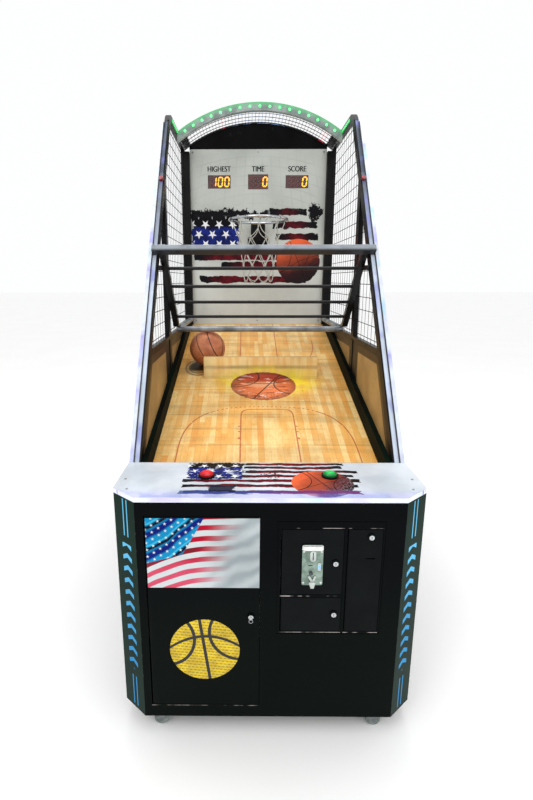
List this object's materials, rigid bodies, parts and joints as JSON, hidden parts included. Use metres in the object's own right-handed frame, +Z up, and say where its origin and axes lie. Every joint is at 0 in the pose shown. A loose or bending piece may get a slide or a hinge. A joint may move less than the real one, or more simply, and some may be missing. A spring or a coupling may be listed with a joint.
{
  "type": "basketball hoop machine",
  "caption": "Coin-operated basketball arcade game: sloped wooden court, hoop and backboard at the far end, mesh sides, guard cage and a front cabinet with doors.",
  "frame": {"origin": "on the floor under the middle of the machine's bounding box", "axes": "+Z up, +Y from the player's cabinet towards the backboard, +X to the player's right"},
  "size_m": [1.05, 2.03, 2.6079],
  "materials": {
    "black_laminate": "black laminate over board, satin",
    "printed_top": "printed acrylic, glossy",
    "diffuser": "white light diffuser",
    "screw_steel": "plain steel",
    "black_plastic": "moulded, glossy",
    "red_plastic": "translucent red dome",
    "green_plastic": "translucent green dome",
    "black_board": "black laminated board",
    "yellow_disc": "printed grille cloth",
    "speaker_black": "cone and magnet",
    "black_door": "black powder coat",
    "coin_plate": "die-cast plate, satin",
    "return_grey": "moulded button",
    "zinc_box": "zinc-plated sheet",
    "lock_chrome": "polished",
    "court_wood": "maple print under clear coat",
    "skirt_black": "black foam board",
    "gate_wood": "maple face",
    "rack_nylon": "moulded nylon",
    "gear_brass": "machined",
    "motor_steel": "drawn can",
    "guide_steel": "folded steel",
    "ball_rubber": "pebbled",
    "side_black": "black laminated board",
    "frame_black": "black powder coat, semi-gloss",
    "base_paint": "timber members, black paint",
    "mesh_wire": "welded wire, black coat",
    "knob_chrome": "polished",
    "guard_grey": "dark grey powder coat",
    "pipe_grey": "grey powder coat",
    "board_grey": "printed acrylic sheet",
    "display_red": "dark red window",
    "ring_chrome": "polished rod",
    "bracket_black": "black paint",
    "net_cord": "white nylon cord",
    "sensor_black": "moulded",
    "header_black": "black laminated board",
    "arch_grey": "smoked translucent",
    "roof_wire": "welded wire",
    "cover_black": "black laminated board",
    "inlet_black": "moulded",
    "rocker_red": "moulded",
    "supply_steel": "sheet case",
    "board_green": "circuit board",
    "zinc_plate": "zinc plated",
    "foot_zinc": "zinc plated",
    "fork_zinc": "zinc plated",
    "wheel_clear": "translucent polyurethane"
  },
  "bodies": {
    "frame": {"front_cabinet": "black_laminate", "deck": "printed_top", "light_strips": "diffuser", "panel_screws": "screw_steel", "button_bezels": "black_plastic", "cash_box": "zinc_box", "court": "court_wood", "court_skirts": "skirt_black", "gate_motor": "motor_steel", "gate_guides": "guide_steel", "side_panels": "side_black", "base_frame": "base_paint", "net_frames_front": "frame_black", "net_frames_rear": "frame_black", "side_meshes": "mesh_wire", "section_knobs": "knob_chrome", "guard_cage": "guard_grey", "guard_lower_pipe": "pipe_grey", "backboard": "board_grey", "score_displays": "display_red", "hoop_ring": "ring_chrome", "hoop_bracket": "bracket_black", "hoop_net": "net_cord", "score_sensor": "sensor_black", "header_panel": "header_black", "light_arch": "arch_grey", "roof_mesh": "roof_wire", "rear_cover": "cover_black", "power_inlet": "inlet_black", "power_supply": "supply_steel", "control_board": "board_green", "caster_plates": "zinc_plate", "levelling_feet": "foot_zinc"},
    "service_door": {"service_door": "black_board", "speaker_grille": "yellow_disc", "speaker": "speaker_black"},
    "coin_door": {"coin_door": "black_door", "coin_acceptor": "coin_plate"},
    "coin_return_button": {"coin_return_button": "return_grey"},
    "cash_door": {"cash_door": "black_door"},
    "utility_door": {"utility_door": "black_door"},
    "service_lock": {"service_lock": "lock_chrome"},
    "coin_lock": {"coin_lock": "lock_chrome"},
    "cash_lock": {"cash_lock": "lock_chrome"},
    "utility_lock": {"utility_lock": "lock_chrome"},
    "red_button": {"red_button": "red_plastic"},
    "green_button": {"green_button": "green_plastic"},
    "ball_gate": {"ball_gate": "gate_wood", "gate_rack": "rack_nylon"},
    "gate_pinion": {"gate_pinion": "gear_brass"},
    "basketball": {"basketball": "ball_rubber"},
    "power_rocker": {"power_rocker": "rocker_red"},
    "caster_fork_front_left": {"caster_fork_front_left": "fork_zinc"},
    "caster_wheel_front_left": {"caster_wheel_front_left": "wheel_clear"},
    "caster_fork_front_right": {"caster_fork_front_right": "fork_zinc"},
    "caster_wheel_front_right": {"caster_wheel_front_right": "wheel_clear"},
    "caster_fork_rear_left": {"caster_fork_rear_left": "fork_zinc"},
    "caster_wheel_rear_left": {"caster_wheel_rear_left": "wheel_clear"},
    "caster_fork_rear_right": {"caster_fork_rear_right": "fork_zinc"},
    "caster_wheel_rear_right": {"caster_wheel_rear_right": "wheel_clear"}
  },
  "joints": [
    {"name": "service_door_hinge", "type": "hinge", "parent": "frame", "child": "service_door", "pos_m": [-0.404, -0.993, 0.497], "axis": [0, 0, -1], "range_deg": [0, 95]},
    {"name": "coin_door_hinge", "type": "hinge", "parent": "frame", "child": "coin_door", "pos_m": [0.045, -0.993, 0.698], "axis": [0, 0, -1], "range_deg": [0, 95]},
    {"name": "coin_return_press", "type": "slide", "parent": "coin_door", "child": "coin_return_button", "axis": [0, 1, 0], "range_m": [0, 0.004], "stiffness_N_per_m": 350, "springref_m": -0.002},
    {"name": "cash_door_hinge", "type": "hinge", "parent": "frame", "child": "cash_door", "pos_m": [0.045, -0.993, 0.501], "axis": [0, 0, -1], "range_deg": [0, 95]},
    {"name": "utility_door_hinge", "type": "hinge", "parent": "frame", "child": "utility_door", "pos_m": [0.262, -0.993, 0.627], "axis": [0, 0, -1], "range_deg": [0, 95]},
    {"name": "service_lock_turn", "type": "hinge", "parent": "service_door", "child": "service_lock", "pos_m": [-0.062, -0.993, 0.492], "axis": [0, -1, 0], "range_deg": [0, 90]},
    {"name": "coin_lock_turn", "type": "hinge", "parent": "coin_door", "child": "coin_lock", "pos_m": [0.217, -0.993, 0.696], "axis": [0, -1, 0], "range_deg": [0, 90]},
    {"name": "cash_lock_turn", "type": "hinge", "parent": "cash_door", "child": "cash_lock", "pos_m": [0.218, -0.993, 0.503], "axis": [0, -1, 0], "range_deg": [0, 90]},
    {"name": "utility_lock_turn", "type": "hinge", "parent": "utility_door", "child": "utility_lock", "pos_m": [0.33, -0.993, 0.792], "axis": [0, 1, 0], "range_deg": [0, 90]},
    {"name": "red_button_press", "type": "slide", "parent": "frame", "child": "red_button", "axis": [0, 0, -1], "range_m": [0, 0.0035], "stiffness_N_per_m": 800, "springref_m": -0.003},
    {"name": "green_button_press", "type": "slide", "parent": "frame", "child": "green_button", "axis": [0, 0, -1], "range_m": [0, 0.0035], "stiffness_N_per_m": 800, "springref_m": -0.003},
    {"name": "ball_gate_lower", "type": "slide", "parent": "frame", "child": "ball_gate", "axis": [0, 0, -1], "range_m": [0, 0.122]},
    {"name": "gate_pinion_turn", "type": "hinge", "parent": "frame", "child": "gate_pinion", "pos_m": [0, 0.169, 0.9228], "axis": [1, 0, 0], "range_deg": [0, 350]},
    {"name": "ball_roll", "type": "slide", "parent": "frame", "child": "basketball", "axis": [0, 0.9627, 0.2706], "range_m": [0, 0.4]},
    {"name": "power_rocker_turn", "type": "hinge", "parent": "frame", "child": "power_rocker", "pos_m": [0.3, 1.004, 0.323], "axis": [1, 0, 0], "range_deg": [0, 16]},
    {"name": "swivel_front_left", "type": "hinge", "parent": "frame", "child": "caster_fork_front_left", "pos_m": [-0.37, -0.955, 0.07], "axis": [0, 0, 1], "continuous": true},
    {"name": "swivel_front_right", "type": "hinge", "parent": "frame", "child": "caster_fork_front_right", "pos_m": [0.37, -0.955, 0.07], "axis": [0, 0, 1], "continuous": true},
    {"name": "swivel_rear_left", "type": "hinge", "parent": "frame", "child": "caster_fork_rear_left", "pos_m": [-0.44, 0.954, 0.07], "axis": [0, 0, 1], "continuous": true},
    {"name": "swivel_rear_right", "type": "hinge", "parent": "frame", "child": "caster_fork_rear_right", "pos_m": [0.44, 0.954, 0.07], "axis": [0, 0, 1], "continuous": true},
    {"name": "roll_front_left", "type": "hinge", "parent": "caster_fork_front_left", "child": "caster_wheel_front_left", "pos_m": [-0.39, -0.955, 0.0275], "axis": [0, 1, 0], "continuous": true},
    {"name": "roll_front_right", "type": "hinge", "parent": "caster_fork_front_right", "child": "caster_wheel_front_right", "pos_m": [0.39, -0.955, 0.0275], "axis": [0, 1, 0], "continuous": true},
    {"name": "roll_rear_left", "type": "hinge", "parent": "caster_fork_rear_left", "child": "caster_wheel_rear_left", "pos_m": [-0.46, 0.954, 0.0275], "axis": [0, 1, 0], "continuous": true},
    {"name": "roll_rear_right", "type": "hinge", "parent": "caster_fork_rear_right", "child": "caster_wheel_rear_right", "pos_m": [0.46, 0.954, 0.0275], "axis": [0, 1, 0], "continuous": true}
  ],
  "couplings": [
    {"joint": "gate_pinion_turn", "follows": "ball_gate_lower", "rad_per_m": 50}
  ]
}
